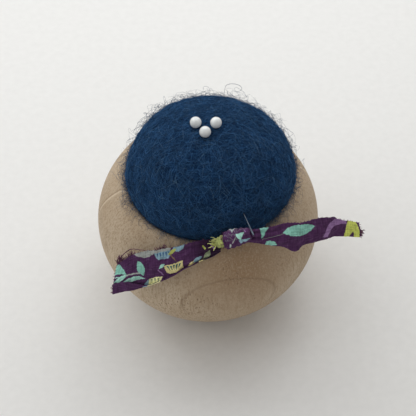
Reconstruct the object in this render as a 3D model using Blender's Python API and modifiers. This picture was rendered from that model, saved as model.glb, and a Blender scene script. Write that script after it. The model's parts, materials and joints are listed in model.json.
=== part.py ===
"""A wool felt pin cushion seated in a turned wooden ball.

A cup is bored into the top of the ball. A felted wool cushion is glued into it, with a torn cotton
strip tied round its waist, and the strip's knot and two tails come out over the rim at the front.
Three ball-headed pins stand in the crown, and a sewing needle is parked in the front of the cushion.

Units are metres, +Z is up, and -Y is the front, where the knot is. The origin is the centre of the
flat face that the ball stands on.
"""

import math

import bpy
from mathutils import Matrix, Vector

MM = 0.001
TURNED_STEPS = 48  # facets round a large turned piece
SLIM_STEPS = 12  # facets round a pin, a needle, a hole or the strip
GAP = 0.3 * MM  # between pieces that touch

# The turned ball
BALL_RADIUS = 38.4 * MM
BALL_HALF_HEIGHT = 33.4 * MM
BALL_CENTRE_Z = 30.5 * MM
RIM_SHOULDER_Z = BALL_CENTRE_Z + 20.9 * MM  # where the outside turns over into the rim
RIM_TOP_Z = BALL_CENTRE_Z + 21.4 * MM
CUP_RADIUS = 26.9 * MM
CUP_LIP_RADIUS = 1.5 * MM
CUP_FLOOR_Z = BALL_CENTRE_Z + 4.0 * MM
CUP_FILLET = 5.0 * MM

# The felted wool cushion: a dome above the rim and a waist inside the cup
DOME_RADIUS = 28.1 * MM
EQUATOR_Z = BALL_CENTRE_Z + 23.0 * MM
DOME_HEIGHT = 22.2 * MM
DOME_POWER = 2.02  # 2 is an ellipse, and more is fuller at the shoulder
TUCK_HEIGHT = 1.25 * MM
WAIST_RADIUS = 25.2 * MM
CUSHION_BOTTOM_Z = CUP_FLOOR_Z + 1.6 * MM
CUSHION_FOOT_RADIUS = 13.0 * MM
CUSHION_FOOT_RISE = 7.0 * MM
FELT_THICKNESS = 4.5 * MM

# The glue under the cushion
GLUE_RADIUS = 12.0 * MM
GLUE_THICKNESS = 1.0 * MM

# The cotton strip
LOOP_INNER_RADIUS = WAIST_RADIUS + GAP
LOOP_OUTER_RADIUS = CUP_RADIUS - GAP
LOOP_BOTTOM_Z = BALL_CENTRE_Z + 11.5 * MM
LOOP_TOP_Z = BALL_CENTRE_Z + 20.2 * MM
STRIP_WIDTH = 13.0 * MM
STRIP_THICKNESS = 1.4 * MM  # two or three layers of cloth with the air between them
KNOT_CENTRE = Vector((7.0, -30.7, 56.3)) * MM
KNOT_RADII = Vector((8.6, 3.8, 3.7)) * MM
KNOT_ROLL = math.radians(9)  # its right end is the higher one
RISER_WIDTH = 7.0 * MM
RISER_INNER = 25.4 * MM
RISER_OUTER = 26.3 * MM
BRIDGE_OUTER = 28.6 * MM
BRIDGE_BOTTOM_Z = RIM_TOP_Z + 0.6 * MM
BRIDGE_TOP_Z = BRIDGE_BOTTOM_Z + 1.6 * MM

# Each tail's stations from the knot outwards: place, tilt of its width in degrees, share of the width
LEFT_TAIL = [
    ((-3.4, -31.8, 52.9), -44, 0.46),
    ((-6.0, -32.4, 51.6), -52, 0.60),
    ((-11.8, -33.3, 49.2), -58, 0.68),
    ((-16.5, -33.6, 47.0), -62, 0.84),
    ((-21.5, -33.5, 44.4), -64, 0.92),
    ((-31.0, -33.0, 38.9), -60, 0.76),
]
RIGHT_TAIL = [
    ((17.4, -29.2, 57.6), 48, 0.40),
    ((20.4, -29.0, 57.2), 54, 0.48),
    ((26.6, -28.3, 55.8), 60, 0.70),
    ((35.8, -24.4, 54.2), 66, 0.56),
    ((43.6, -21.2, 51.0), 62, 0.42),
    ((49.6, -19.3, 47.8), 56, 0.36),
]

# The pins: where each shaft enters the crown, and how far it leans (toward +X, toward +Y)
PIN_PLACES = {
    "left": (-3.9 * MM, 0.9 * MM, math.radians(-2.0), math.radians(1.5)),
    "right": (2.5 * MM, 0.7 * MM, math.radians(2.5), math.radians(1.0)),
    "front": (-0.9 * MM, -3.2 * MM, math.radians(-0.5), math.radians(-3.0)),
}
HEAD_RADIUS = 1.9 * MM
HEAD_SINK = 0.5 * MM  # how far the head presses into the felt
HEAD_SOCKET_DEPTH = 1.5 * MM
PIN_SHAFT_RADIUS = 0.3 * MM
PIN_SHAFT_LENGTH = 32.0 * MM
POINT_LENGTH = 3.0 * MM
CHANNEL_RADIUS = PIN_SHAFT_RADIUS + GAP
SOCKET_CLEARANCE = 0.1 * MM
CHANNEL_SPARE = 1.0 * MM  # the channel runs on past the point

# The needle: the place where it enters the felt, the way back out, and its two lengths
NEEDLE_ENTRY = Vector((10.9, -23.6, 61.9)) * MM
NEEDLE_OUTWARD = Vector((0.36, -0.92, -0.15)).normalized()
NEEDLE_RADIUS = 0.2 * MM
NEEDLE_OUTSIDE = 9.4 * MM
NEEDLE_INSIDE = 20.0 * MM

COLOURS = {
    "wood": (0.50, 0.39, 0.27, 0.62, 0.0),
    "felt_blue": (0.012, 0.045, 0.115, 0.95, 0.0),
    "core_wool": (0.70, 0.66, 0.56, 0.95, 0.0),
    "glue": (0.78, 0.74, 0.62, 0.35, 0.0),
    "printed_cotton": (0.070, 0.018, 0.075, 0.90, 0.0),
    "pearl": (0.86, 0.86, 0.83, 0.28, 0.0),
    "steel": (0.62, 0.63, 0.65, 0.25, 1.0),
}


def clear_scene():
    for old in list(bpy.data.objects):
        bpy.data.objects.remove(old, do_unlink=True)


def new_collection(name):
    made = bpy.data.collections.new(name)
    bpy.context.scene.collection.children.link(made)
    return made


def material(slot):
    """The slot's Principled material: base colour, roughness and metallic value."""
    found = bpy.data.materials.get(slot)
    if found:
        return found
    red, green, blue, roughness, metallic = COLOURS[slot]
    made = bpy.data.materials.new(slot)
    made.use_nodes = True
    shader = made.node_tree.nodes["Principled BSDF"]
    shader.inputs["Base Color"].default_value = (red, green, blue, 1)
    shader.inputs["Roughness"].default_value = roughness
    shader.inputs["Metallic"].default_value = metallic
    return made


def place_in(collection, obj):
    for current in list(obj.users_collection):
        current.objects.unlink(obj)
    collection.objects.link(obj)


def as_part(obj, name, slot):
    obj.name = name
    obj.data.name = name
    obj.data.materials.clear()
    obj.data.materials.append(material(slot))
    place_in(PARTS, obj)
    return obj


def as_cutter(obj, name):
    obj.name = name
    obj.hide_render = True
    obj.display_type = "WIRE"
    place_in(CUTTERS, obj)
    return obj


def ellipse_arc(centre, radii, start, end, steps, power=2.0):
    """Points (radius, height) on an ellipse in the X-Z plane, from one angle in degrees to another."""
    points = []
    for i in range(steps + 1):
        angle = math.radians(start + (end - start) * i / steps)
        across = math.copysign(abs(math.cos(angle)) ** (2 / power), math.cos(angle))
        above = math.copysign(abs(math.sin(angle)) ** (2 / power), math.sin(angle))
        points.append((centre[0] + radii[0] * across, centre[1] + radii[1] * above))
    return points


def turned(profile, steps=TURNED_STEPS, closed=False):
    """A turned solid: a profile of (radius, height) points spun round Z by a Screw modifier."""
    mesh = bpy.data.meshes.new("profile")
    count = len(profile)
    edges = [(i, i + 1) for i in range(count - 1)]
    if closed:
        edges.append((count - 1, 0))
    mesh.from_pydata([(max(r, 0.0), 0, z) for r, z in profile], edges, [])
    obj = bpy.data.objects.new("turned", mesh)
    bpy.context.scene.collection.objects.link(obj)
    spin = obj.modifiers.new("Spin", "SCREW")
    spin.steps = steps
    spin.render_steps = steps
    spin.use_merge_vertices = True
    spin.merge_threshold = 0.00001
    spin.use_smooth_shade = True
    return obj


def boolean(obj, cutter, operation="DIFFERENCE"):
    cut = obj.modifiers.new(cutter.name, "BOOLEAN")
    cut.operation = operation
    cut.solver = "EXACT"
    cut.object = cutter


def box_cutter(name, low, high, matrix):
    """A box between two corners of its own frame, placed by matrix."""
    bpy.ops.mesh.primitive_cube_add(size=1)
    obj = bpy.context.object
    low, high = Vector(low), Vector(high)
    fit = Matrix.Translation((low + high) / 2) @ Matrix.Diagonal((*(high - low), 1))
    obj.data.transform(matrix @ fit)
    return as_cutter(obj, name)


def rod_matrix(point, direction):
    """Puts an object's +Z along direction, with its origin at point."""
    return Matrix.Translation(point) @ direction.to_track_quat("Z", "Y").to_matrix().to_4x4()


def channel_cutter(name, matrix, bottom, top, radius):
    """A round hole along its frame's Z, from bottom to top."""
    bpy.ops.mesh.primitive_cylinder_add(vertices=SLIM_STEPS, radius=radius, depth=top - bottom)
    obj = bpy.context.object
    obj.data.transform(matrix @ Matrix.Translation((0, 0, (top + bottom) / 2)))
    return as_cutter(obj, name)


def wooden_base():
    """The turned ball: flat foot, bored cup with a filleted floor, and a rounded rim."""
    floor_corner = (CUP_RADIUS - CUP_FILLET, CUP_FLOOR_Z + CUP_FILLET)
    lip_centre = (CUP_RADIUS + CUP_LIP_RADIUS, RIM_TOP_Z - CUP_LIP_RADIUS)
    profile = [(0, CUP_FLOOR_Z)]
    profile += ellipse_arc(floor_corner, (CUP_FILLET, CUP_FILLET), -90, 0, 5)
    profile += ellipse_arc(lip_centre, (CUP_LIP_RADIUS, CUP_LIP_RADIUS), 180, 75, 5)
    top = math.degrees(math.asin((RIM_SHOULDER_Z - BALL_CENTRE_Z) / BALL_HALF_HEIGHT))
    foot = -math.degrees(math.asin(BALL_CENTRE_Z / BALL_HALF_HEIGHT))
    profile += ellipse_arc((0, BALL_CENTRE_Z), (BALL_RADIUS, BALL_HALF_HEIGHT), top, foot, 22)
    profile += [(0, 0)]
    return as_part(turned(profile), "wooden_base", "wood")


def cushion_outline(inset=0.0):
    """The cushion's section from its crown to the middle of its foot, moved inwards by inset."""
    dome = (DOME_RADIUS - inset, DOME_HEIGHT - inset)
    waist = WAIST_RADIUS - inset
    bottom = CUSHION_BOTTOM_Z + inset
    tuck_centre = (waist, EQUATOR_Z)
    tuck_radii = (DOME_RADIUS - WAIST_RADIUS, TUCK_HEIGHT)
    foot_centre = (CUSHION_FOOT_RADIUS, CUSHION_BOTTOM_Z + CUSHION_FOOT_RISE)
    foot_radii = (waist - CUSHION_FOOT_RADIUS, CUSHION_FOOT_RISE - inset)
    outline = ellipse_arc((0, EQUATOR_Z), dome, 90, 0, 12, DOME_POWER)
    outline += ellipse_arc(tuck_centre, tuck_radii, 0, -90, 4)[1:]
    outline += ellipse_arc(foot_centre, foot_radii, 0, -90, 5)
    outline.append((0, bottom))
    return outline


def dome_height_at(radius):
    """How high the dome's surface is at a distance from the ball's axis."""
    share = 1 - (radius / DOME_RADIUS) ** DOME_POWER
    return EQUATOR_Z + DOME_HEIGHT * share ** (1 / DOME_POWER)


def glue_pad():
    bottom = CUP_FLOOR_Z + GAP
    top = bottom + GLUE_THICKNESS
    profile = [(0, top), (GLUE_RADIUS, top), (GLUE_RADIUS, bottom), (0, bottom)]
    return as_part(turned(profile, 24), "glue_pad", "glue")


def knot_frame():
    """The knot's own frame: X along the rim, Y inwards, Z up."""
    turn = math.atan2(KNOT_CENTRE.x, -KNOT_CENTRE.y)
    return Matrix.Rotation(turn, 4, "Z")


def riser_boxes(name, grow):
    """The cutter for the doubled strip that climbs out of the cup, and the one that bends over the rim."""
    half = RISER_WIDTH / 2 + grow
    frame = knot_frame()
    riser = box_cutter(
        name + "_riser",
        (-half, -RISER_OUTER - grow, LOOP_TOP_Z - 1.5 * MM - grow),
        (half, -RISER_INNER + grow, BRIDGE_TOP_Z + grow),
        frame,
    )
    bridge = box_cutter(
        name + "_bridge",
        (-half, -BRIDGE_OUTER - grow, BRIDGE_BOTTOM_Z - grow),
        (half, -RISER_INNER + grow, BRIDGE_TOP_Z + grow),
        frame,
    )
    return riser, bridge


def ribbon_loop():
    """The strip's hidden turn round the cushion's waist, with its two ends coming up at the front."""
    profile = [
        (LOOP_INNER_RADIUS, LOOP_TOP_Z),
        (LOOP_OUTER_RADIUS, LOOP_TOP_Z),
        (LOOP_OUTER_RADIUS, LOOP_BOTTOM_Z),
        (LOOP_INNER_RADIUS, LOOP_BOTTOM_Z),
    ]
    loop = as_part(turned(profile, closed=True), "ribbon_loop", "printed_cotton")
    for box in riser_boxes("loop", 0.0):
        boolean(loop, box, "UNION")
    return loop


def knot_lump(name, grow):
    """The knot's rounded body, grown by a clearance."""
    bpy.ops.mesh.primitive_uv_sphere_add(segments=20, ring_count=12, radius=1)
    obj = bpy.context.object
    size = Matrix.Diagonal((*(radius + grow for radius in KNOT_RADII), 1))
    roll = Matrix.Rotation(-KNOT_ROLL, 4, "Y")
    obj.data.transform(Matrix.Translation(KNOT_CENTRE) @ knot_frame() @ roll @ size)
    obj.data.shade_smooth()
    obj.name = name
    return obj


def ribbon_knot():
    knot = as_part(knot_lump("knot", 0.0), "ribbon_knot", "printed_cotton")
    for box in riser_boxes("knot", GAP):
        boolean(knot, box)
    return knot


def strip_section():
    """The strip's section: a flat lens, thick in the middle, that the tails carry along their path."""
    curve = bpy.data.curves.new("strip_section", "CURVE")
    curve.dimensions = "2D"
    spline = curve.splines.new("POLY")
    spline.points.add(SLIM_STEPS - 1)
    for i, point in enumerate(spline.points):
        angle = -2 * math.pi * i / SLIM_STEPS
        x = STRIP_WIDTH / 2 * math.cos(angle)
        y = STRIP_THICKNESS / 2 * math.sin(angle)
        point.co = (x, y, 0, 1)
    spline.use_cyclic_u = True
    return as_cutter(bpy.data.objects.new("strip_section", curve), "strip_section")


def ribbon_tail(name, stations, section):
    """A tail of the strip: the section swept through the stations, turned and gathered at each one."""
    curve = bpy.data.curves.new(name, "CURVE")
    curve.dimensions = "3D"
    curve.twist_mode = "Z_UP"
    curve.resolution_u = 3
    curve.bevel_mode = "OBJECT"
    curve.bevel_object = section
    curve.use_fill_caps = True
    spline = curve.splines.new("BEZIER")
    spline.bezier_points.add(len(stations) - 1)
    for point, (place, tilt, share) in zip(spline.bezier_points, stations):
        point.co = Vector(place) * MM
        point.handle_left_type = "AUTO"
        point.handle_right_type = "AUTO"
        point.tilt = math.radians(tilt)
        point.radius = share
    return as_part(bpy.data.objects.new(name, curve), name, "printed_cotton")


def pin_matrix(side):
    """The frame of a pin: its origin where the shaft enters the felt, +Z out along the shaft."""
    x, y, lean_x, lean_y = PIN_PLACES[side]
    point = Vector((x, y, dome_height_at(math.hypot(x, y))))
    return rod_matrix(point, Vector((math.tan(lean_x), math.tan(lean_y), 1)).normalized())


def slim_rod(top, radius, shoulder, tip):
    """A turned shaft with a long point: flat at the top, tapering from the shoulder to the tip."""
    profile = [(0, top), (radius, top), (radius, shoulder), (radius * 0.55, (shoulder + tip) / 2), (0, tip)]
    return turned(profile, SLIM_STEPS)


def pin(side):
    """A ball head on a steel shaft, both children of an empty on the pin's sliding axis."""
    matrix = pin_matrix(side)
    axis = bpy.data.objects.new(f"pin_{side}_axis", None)
    PARTS.objects.link(axis)
    axis.matrix_world = matrix

    head_centre = HEAD_RADIUS - HEAD_SINK
    bpy.ops.mesh.primitive_uv_sphere_add(segments=16, ring_count=10, radius=HEAD_RADIUS)
    head = as_part(bpy.context.object, f"pin_{side}_head", "pearl")
    head.data.shade_smooth()
    head.parent = axis
    head.location = (0, 0, head_centre)

    socket_top = head_centre - HEAD_RADIUS + HEAD_SOCKET_DEPTH
    radius = PIN_SHAFT_RADIUS + SOCKET_CLEARANCE
    socket = channel_cutter(f"{side}_socket", matrix, -HEAD_RADIUS, socket_top, radius)
    boolean(head, socket)

    tip = socket_top - SOCKET_CLEARANCE - PIN_SHAFT_LENGTH
    rod = slim_rod(socket_top - SOCKET_CLEARANCE, PIN_SHAFT_RADIUS, tip + POINT_LENGTH, tip)
    shaft = as_part(rod, f"pin_{side}_shaft", "steel")
    shaft.parent = axis
    return matrix, tip


def needle():
    """A sewing needle, blunt end outside the cushion and point inside it."""
    rod = slim_rod(NEEDLE_OUTSIDE, NEEDLE_RADIUS, -NEEDLE_INSIDE + POINT_LENGTH, -NEEDLE_INSIDE)
    part = as_part(rod, "needle", "steel")
    part.matrix_world = rod_matrix(NEEDLE_ENTRY, NEEDLE_OUTWARD)
    return part


def head_dent(side, matrix):
    """The dent that a pin's head presses into the felt."""
    bpy.ops.mesh.primitive_uv_sphere_add(segments=16, ring_count=10, radius=HEAD_RADIUS + GAP)
    obj = bpy.context.object
    obj.data.transform(matrix @ Matrix.Translation((0, 0, HEAD_RADIUS - HEAD_SINK)))
    return as_cutter(obj, f"{side}_dent")


def cushion(pins):
    """The dyed felt shell and the wool core inside it, pierced by the pins and the needle."""
    shell = as_part(turned(cushion_outline()), "felt_cushion", "felt_blue")
    hollow = as_cutter(turned(cushion_outline(FELT_THICKNESS)), "hollow")
    core = as_part(turned(cushion_outline(FELT_THICKNESS + GAP), 32), "wool_core", "core_wool")
    boolean(shell, hollow)
    for box in riser_boxes("cushion", GAP):
        boolean(shell, box)
    boolean(shell, as_cutter(knot_lump("knot_dent", GAP), "knot_dent"))
    for side, (matrix, tip) in pins.items():
        boolean(shell, head_dent(side, matrix))
        hole = channel_cutter(f"{side}_channel", matrix, tip - CHANNEL_SPARE, HEAD_RADIUS, CHANNEL_RADIUS)
        boolean(shell, hole)
        boolean(core, hole)
    matrix = rod_matrix(NEEDLE_ENTRY, NEEDLE_OUTWARD)
    bottom, top = -NEEDLE_INSIDE - CHANNEL_SPARE, NEEDLE_OUTSIDE
    hole = channel_cutter("needle_channel", matrix, bottom, top, NEEDLE_RADIUS + GAP)
    boolean(shell, hole)
    boolean(core, hole)


clear_scene()
PARTS = new_collection("pin_cushion")
CUTTERS = new_collection("cutters")

wooden_base()
glue_pad()
cushion({side: pin(side) for side in PIN_PLACES})
needle()
ribbon_loop()
ribbon_knot()
SECTION = strip_section()
ribbon_tail("ribbon_left_tail", LEFT_TAIL, SECTION)
ribbon_tail("ribbon_right_tail", RIGHT_TAIL, SECTION)
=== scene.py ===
"""The looks of a pin cushion: a felted wool ball in a turned wooden ball, tied with a torn cotton strip.

Lengths here are millimetres in the CAD model's frame, and mesh_piece turns them into metres.
+Z is up and -Y is the front, where the strip is knotted.
"""

import json
import math

import bpy
import numpy as np
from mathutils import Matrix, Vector


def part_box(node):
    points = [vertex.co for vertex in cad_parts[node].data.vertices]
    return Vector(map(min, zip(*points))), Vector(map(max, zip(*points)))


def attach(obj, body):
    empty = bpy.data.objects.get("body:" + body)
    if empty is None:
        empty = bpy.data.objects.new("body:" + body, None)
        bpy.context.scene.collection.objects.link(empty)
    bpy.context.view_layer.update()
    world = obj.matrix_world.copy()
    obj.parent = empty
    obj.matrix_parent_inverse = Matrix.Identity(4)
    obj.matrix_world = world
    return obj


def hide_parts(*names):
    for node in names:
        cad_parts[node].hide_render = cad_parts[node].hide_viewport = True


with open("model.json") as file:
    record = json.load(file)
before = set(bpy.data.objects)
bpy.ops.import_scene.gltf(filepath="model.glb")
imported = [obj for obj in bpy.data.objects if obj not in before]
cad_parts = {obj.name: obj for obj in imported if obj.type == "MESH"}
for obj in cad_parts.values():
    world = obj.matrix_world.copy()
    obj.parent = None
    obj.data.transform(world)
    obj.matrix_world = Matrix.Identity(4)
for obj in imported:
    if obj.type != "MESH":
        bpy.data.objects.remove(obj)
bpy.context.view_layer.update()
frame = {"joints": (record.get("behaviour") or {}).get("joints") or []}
MM = 0.001
RNG = np.random.default_rng(11)

TURN = 2 * np.pi


# ---- places read from the CAD model


def node_box(node):
    """A CAD node's lowest and highest corner, in millimetres."""
    low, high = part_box(node)
    return np.array(low) / MM, np.array(high) / MM


def even(count):
    """Evenly spaced numbers from 0 to 1."""
    return np.linspace(0, 1, count)


def unit(vectors):
    return vectors / np.linalg.norm(vectors, axis=-1, keepdims=True)


JOINT_AXES = {joint["child"]: unit(np.array(joint["axis"])) for joint in frame["joints"]}

BALL_LOW, BALL_HIGH = node_box("wooden_base")
BALL_RADIUS = (BALL_HIGH[0] - BALL_LOW[0]) / 2
RIM_TOP = BALL_HIGH[2]
RIM_RISE = 21.4  # the rim's height above the ball's centre
BALL_CENTRE = RIM_TOP - RIM_RISE
BALL_HALF_HEIGHT = 33.4
CUP_RADIUS = 26.9
CUP_FLOOR = BALL_CENTRE + 4.0
CUP_FILLET = 5.0
LIP_RADIUS = 1.5

FELT_LOW, FELT_HIGH = node_box("felt_cushion")
FELT_RADIUS = FELT_HIGH[0]
EQUATOR = RIM_TOP + 1.6  # where the felt is widest
FELT_CENTRE = np.array([0, 0, EQUATOR])
DOME_POWER = 2.02  # 2 is an ellipse, and more is squarer
WAIST_RADIUS = 25.2  # of the felt in the cup, with the strip round it
TUCK_HEIGHT = 1.25
FOOT_RADIUS = 13.0
FOOT_RISE = 7.0

KNOT_LOW, KNOT_HIGH = node_box("ribbon_knot")
KNOT_CENTRE = (KNOT_LOW + KNOT_HIGH) / 2
KNOT_AXIS = unit(np.array([0.96, 0.12, 0.24]))


def pin_frame(side):
    """A pin's head centre, its outward axis, its head's radius and its shaft's length."""
    low, high = node_box(f"pin_{side}_head")
    shaft_low, shaft_high = node_box(f"pin_{side}_shaft")
    axis = JOINT_AXES[f"pin_{side}"]
    length = (shaft_high[2] - shaft_low[2]) / axis[2]
    return (low + high) / 2, axis, (high[2] - low[2]) / 2, length


PINS = {side: pin_frame(side) for side in ("left", "right", "front")}


# ---- building meshes


def linked(name, data):
    made = bpy.data.objects.new(name, data)
    bpy.context.scene.collection.objects.link(made)
    return made


def mesh_piece(name, points, faces, material, uvs=None, colours=None):
    """A smooth piece from millimetre points, with a UV and a colour for each."""
    mesh = bpy.data.meshes.new(name)
    mesh.from_pydata((np.reshape(points, (-1, 3)) * MM).tolist(), [], faces)
    mesh.shade_smooth()
    if uvs is not None:
        corners = np.empty(len(mesh.loops), int)
        mesh.loops.foreach_get("vertex_index", corners)
        mesh.uv_layers.new(name="strip").data.foreach_set("uv", uvs.reshape(-1, 2)[corners].ravel())
    if colours is not None:
        layer = mesh.color_attributes.new("print", "FLOAT_COLOR", "POINT")
        layer.data.foreach_set("color", np.insert(colours.reshape(-1, 3), 3, 1, axis=1).ravel())
    mesh.materials.append(material)
    return linked(name, mesh)


def ride(piece, slot, *nodes, body="base"):
    """The piece rides on a body and replaces the nodes; slot is not used."""
    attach(piece, body)
    if nodes:
        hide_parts(*nodes)
    return piece


def grid_faces(rows, columns, wrap=False):
    """The quads of a grid of points, stored row after row."""
    across = columns if wrap else columns - 1
    row, column = np.meshgrid(np.arange(rows - 1), np.arange(across), indexing="ij")
    here, right = row * columns + column, row * columns + (column + 1) % columns
    quads = np.stack([here, right, right + columns, here + columns], -1)
    return quads.reshape(-1, 4).tolist()


def modifier(piece, kind, **settings):
    made = piece.modifiers.new(kind.title(), kind)
    for key, value in settings.items():
        setattr(made, key, value)
    return made


def ellipse(centre, radii, start, end, count, power=2.0):
    """Points (radius, height) on an ellipse, between two angles in degrees."""
    angle = np.radians(np.linspace(start, end, count))
    way = np.stack([np.cos(angle), np.sin(angle)], -1)
    return centre + radii * np.sign(way) * np.abs(way) ** (2 / power)


def turned(profile, steps):
    """A profile of (radius, height) spun round Z, which it meets at both ends."""
    turn = np.linspace(0, TURN, steps, endpoint=False)
    rings = profile[1:-1]
    radius, height = rings.T[..., None]
    body = np.stack(np.broadcast_arrays(radius * np.cos(turn), radius * np.sin(turn), height), -1)
    body = body.reshape(-1, 3)
    ends = np.array([[0, 0, profile[0, 1]], [0, 0, profile[-1, 1]]])
    top, bottom = len(body), len(body) + 1
    faces = [face[::-1] for face in grid_faces(len(rings), steps, wrap=True)]
    last = (len(rings) - 1) * steps
    faces += [[top, i, (i + 1) % steps] for i in range(steps)]
    faces += [[bottom, last + (i + 1) % steps, last + i] for i in range(steps)]
    return np.vstack([body, ends]), faces


def stand_along(points, origin, axis):
    """Points modelled along +Z, moved to stand on origin along axis."""
    return points @ np.array(Vector(axis).to_track_quat("Z", "Y").to_matrix()).T + origin


def turned_piece(name, profile, steps, origin, axis, material):
    points, faces = turned(np.vstack(profile), steps)
    return mesh_piece(name, stand_along(points, origin, axis), faces, material)


def random_waves(wavelength, count=28):
    """A smooth random field of plane waves, about -1 to 1."""
    waves = unit(RNG.normal(size=(count, 3))) * RNG.uniform(0.7, 1.4, (count, 1)) * TURN / wavelength
    phases = RNG.uniform(0, TURN, count)
    return lambda points: np.sin(points @ waves.T + phases).sum(-1) / math.sqrt(count)


def ease(low, high, value):
    """0 at low and 1 at high, with a smooth rise between."""
    share = np.clip((value - low) / (high - low), 0, 1)
    return share * share * (3 - 2 * share)


def spline(points, places):
    """A smooth curve through the points, read at places from 0 to 1."""
    points = np.asarray(points, float)
    padded = np.vstack([2 * points[0] - points[1], points, 2 * points[-1] - points[-2]])
    place = np.clip(np.asarray(places, float), 0, 1) * (len(points) - 1)
    index = np.minimum(place.astype(int), len(points) - 2)
    t = (place - index)[..., None]
    a, b, c, d = (padded[index + i] for i in range(4))
    return 0.5 * (2 * b + (c - a) * t + (2 * a - 5 * b + 4 * c - d) * t**2 + (3 * b - a - 3 * c + d) * t**3)


def tubes(name, paths, radii, material):
    """Fine three-sided tubes, thinning to both ends."""
    count, steps, _ = paths.shape
    along = unit(np.gradient(paths, axis=1))
    side = unit(np.cross(along, RNG.normal(size=(count, 1, 3))))
    rise = np.cross(along, side)
    taper = np.sin(np.pi * np.linspace(0.05, 0.95, steps)) ** 0.5
    reach = np.reshape(radii, (-1, 1, 1)) * taper[None, :, None]
    turn = TURN / 3
    corners = [paths + reach * (math.cos(k * turn) * side + math.sin(k * turn) * rise) for k in range(3)]
    points = np.stack(corners, 2).reshape(-1, 3)
    one = np.array(grid_faces(steps, 3, wrap=True))
    starts = np.arange(count) * steps * 3
    walls = (one[None] + starts[:, None, None]).reshape(-1, 4).tolist()
    first, last = np.array([2, 1, 0]), np.array([0, 1, 2]) + (steps - 1) * 3
    caps = np.vstack([starts[:, None] + first, starts[:, None] + last]).tolist()
    return mesh_piece(name, points, walls + caps, material)


# ---- materials


class Nodes:
    """A new material and its nodes."""

    def __init__(self, name):
        self.material = bpy.data.materials.new(name)
        self.material.use_nodes = True
        self.tree = self.material.node_tree
        self.shader = self.tree.nodes["Principled BSDF"]

    def add(self, kind, inputs=None, **settings):
        node = self.tree.nodes.new("ShaderNode" + kind)
        for key, value in settings.items():
            setattr(node, key, value)
        for key, value in (inputs or {}).items():
            self.put(value, node.inputs[key])
        return node

    def put(self, value, socket):
        if isinstance(value, bpy.types.NodeSocket):
            self.tree.links.new(value, socket)
        else:
            socket.default_value = value

    def surface(self, **values):
        """Sets the shader's sockets, by names such as Base_Color."""
        for key, value in values.items():
            self.put(value, self.shader.inputs[key.replace("_", " ")])
        return self.material

    def maths(self, operation, a, b):
        return self.add("Math", {0: a, 1: b}, operation=operation).outputs[0]

    def times(self, a, b):
        return self.maths("MULTIPLY", a, b)

    def mix(self, share, a, b):
        """From a socket's colour to (r, g, b)."""
        node = self.add("Mix", {"Factor": share}, data_type="RGBA")
        self.put(a, node.inputs["A"])
        self.put((*b, 1), node.inputs["B"])
        return node.outputs["Result"]

    def ramp(self, value, stops):
        """A colour ramp. stops are (place, grey or (r, g, b))."""
        node = self.add("ValToRGB", {"Fac": value})
        elements = node.color_ramp.elements
        while len(elements) < len(stops):
            elements.new(0.5)
        for element, (place, colour) in zip(elements, stops):
            element.position = place
            colour = colour if isinstance(colour, tuple) else (colour,) * 3
            element.color = (*colour, 1)
        return node.outputs["Color"]

    def noise(self, where, detail=2.0, roughness=0.5):
        """where is a vector, or how many blotches there are to a millimetre."""
        vector = where if isinstance(where, bpy.types.NodeSocket) else self.place(where)
        inputs = {"Vector": vector, "Scale": 1.0, "Detail": detail, "Roughness": roughness}
        return self.add("TexNoise", inputs).outputs["Fac"]

    def cells(self, per_mm):
        """The distance from the nearest of many scattered points."""
        inputs = {"Vector": self.place(per_mm), "Scale": 1.0, "Randomness": 1.0}
        return self.add("TexVoronoi", inputs).outputs["Distance"]

    def bump(self, height, distance, strength=1.0):
        node = self.add("Bump", {"Height": height, "Distance": distance, "Strength": strength})
        self.put(node.outputs["Normal"], self.shader.inputs["Normal"])

    def place(self, per_mm, location=(0, 0, 0), rotation=(0, 0, 0)):
        """Object coordinates in millimetres, times per_mm, and moved."""
        scale = tuple(np.broadcast_to(per_mm, 3) / MM)
        inputs = {"Vector": self.add("TexCoord").outputs["Object"], "Scale": scale}
        return self.add("Mapping", {**inputs, "Location": location, "Rotation": rotation}).outputs["Vector"]

    def near(self, place, reach, full, most):
        """most near a place, falling to 0 at reach millimetres from it."""
        away = self.place(1 / reach, tuple(-value / reach for value in place))
        length = self.add("VectorMath", {0: away}, operation="LENGTH").outputs["Value"]
        return self.times(self.ramp(length, [(full, 1.0), (1.0, 0.0)]), most)

    def strip_place(self, scale=(1, 1, 1)):
        """The place on the flat strip of cotton, in UV units."""
        inputs = {"Vector": self.add("TexCoord").outputs["UV"], "Scale": scale}
        return self.add("Mapping", inputs).outputs["Vector"]


SHEEN_BLUE = (0.15, 0.4, 0.8, 1)


def strand_material(name, dark, light, sheen=0.0):
    """Wool or yarn: each strand drifts between two tones along its length."""
    nodes = Nodes(name)
    tone = nodes.noise(0.9, 3.0, 0.7)
    nodes.surface(Base_Color=nodes.ramp(tone, [(0.32, dark), (0.68, light)]), Roughness=0.9)
    nodes.surface(Specular_IOR_Level=0.08, Sheen_Tint=SHEEN_BLUE)
    return nodes.surface(Sheen_Weight=sheen, Sheen_Roughness=0.5)


PITH = (-12.5, 62.5)  # where the tree's middle was, far behind the ball
# Each growth ring's distance from the pith, how dark it is, and how wide
INNER_RINGS = [(54.0, 0.1, 0.4), (63.0, 0.06, 0.4), (70.4, 0.85, 0.4), (80.0, 0.1, 0.4)]
OUTER_RINGS = [(88.0, 0.08, 0.4), (95.0, 0.1, 0.4), (100.0, 0.6, 0.2)]
RIDGE_HIGHLIGHT = [(70.5, 0.0), (70.9, 1.0), (71.5, 0.0)]  # the painted highlight along the ridge beyond the darkest inner ring
NEAREST, FARTHEST = 50.0, 102.0  # distances from the pith that the rings lie between

FLECKED_PLACE = (-5.0, -36.5, 27.0)  # low on the front, where the dark flecks are thickest
STRIP_SHADE_PLACE = (11.0, -31.5, 45.0)  # under the strip, where painted shade darkens the wood
SAPWOOD_PLACE = (-26.0, -26.0, 22.0)  # a paler patch low on the left

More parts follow.
